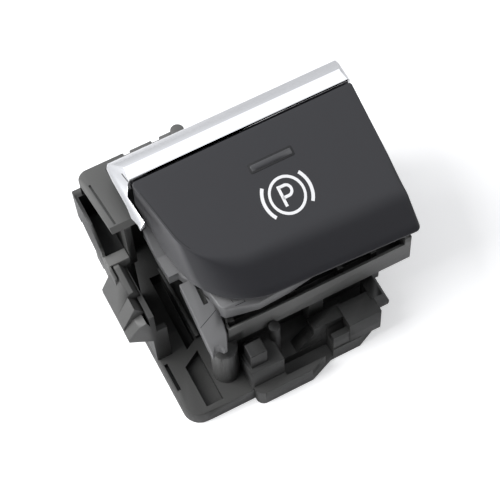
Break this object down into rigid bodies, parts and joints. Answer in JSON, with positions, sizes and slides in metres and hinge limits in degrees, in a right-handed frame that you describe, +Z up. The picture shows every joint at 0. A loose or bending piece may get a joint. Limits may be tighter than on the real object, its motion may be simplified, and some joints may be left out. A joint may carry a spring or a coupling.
{
  "type": "electric parking brake switch",
  "caption": "Rocker switch for an electric parking brake: black key with a turned-down lip and bright rear trim, pulled up or pushed down over an open clip-in housing with a plug socket below.",
  "frame": {"origin": "on the underside of the base plate, below the middle of the key's width", "axes": "+X to the right along the key, +Y from the driver's fingers at the lip to the bright trim at the back, +Z up"},
  "size_m": [0.0577, 0.0421, 0.0417],
  "materials": {
    "key_cap_black": "fine matt grain",
    "bright_trim": "satin chrome plating",
    "smoked_lens": "smooth smoked",
    "grey_plastic": "matt",
    "black_plastic": "matt",
    "steel": "drawn",
    "natural_plastic": "satin",
    "grey_silicone": "matt",
    "carbon": "matt",
    "board_green": "solder mask",
    "chip_black": "matt",
    "ceramic": "matt",
    "lamp_resin": "clear resin",
    "clear_plastic": "polished",
    "gold_plate": "plated",
    "buffer_rubber": "matt",
    "spring_steel": "rolled"
  },
  "bodies": {
    "housing_body": {"housing": "black_plastic", "base_cover": "black_plastic", "hinge_pins": "steel", "return_spring": "steel", "switch_mat": "grey_silicone", "contact_pills": "carbon", "circuit_board": "board_green", "control_chip": "chip_black", "board_parts": "ceramic", "indicator_lamp": "lamp_resin", "symbol_lamp": "lamp_resin", "connector_pins": "gold_plate", "board_screws": "steel", "stop_buffers": "buffer_rubber", "panel_spring": "spring_steel"},
    "key_body": {"key_cap": "key_cap_black", "chrome_trim": "bright_trim", "indicator_lens": "smoked_lens", "key_carrier": "grey_plastic", "indicator_light_guide": "clear_plastic", "symbol_light_guide": "clear_plastic"},
    "push_body": {"push_plunger": "natural_plastic"},
    "pull_body": {"pull_plunger": "natural_plastic"}
  },
  "joints": [
    {"name": "key_hinge", "type": "hinge", "parent": "housing_body", "child": "key_body", "pos_m": [0, 0.006, 0.021], "axis": [-1, 0, 0], "range_deg": [-4, 6], "stiffness_Nm_per_rad": 0.6, "deforming": ["return_spring"]},
    {"name": "push_slide", "type": "slide", "parent": "housing_body", "child": "push_body", "axis": [0, 0, 1], "range_m": [-0.00065, 0.00096], "deforming": ["switch_mat"]},
    {"name": "pull_slide", "type": "slide", "parent": "housing_body", "child": "pull_body", "axis": [0, 0, 1], "range_m": [-0.00091, 0.00061], "deforming": ["switch_mat"]}
  ],
  "couplings": [
    {"joint": "push_slide", "follows": "key_hinge", "m_per_rad": 0.009},
    {"joint": "pull_slide", "follows": "key_hinge", "m_per_rad": -0.0085}
  ]
}
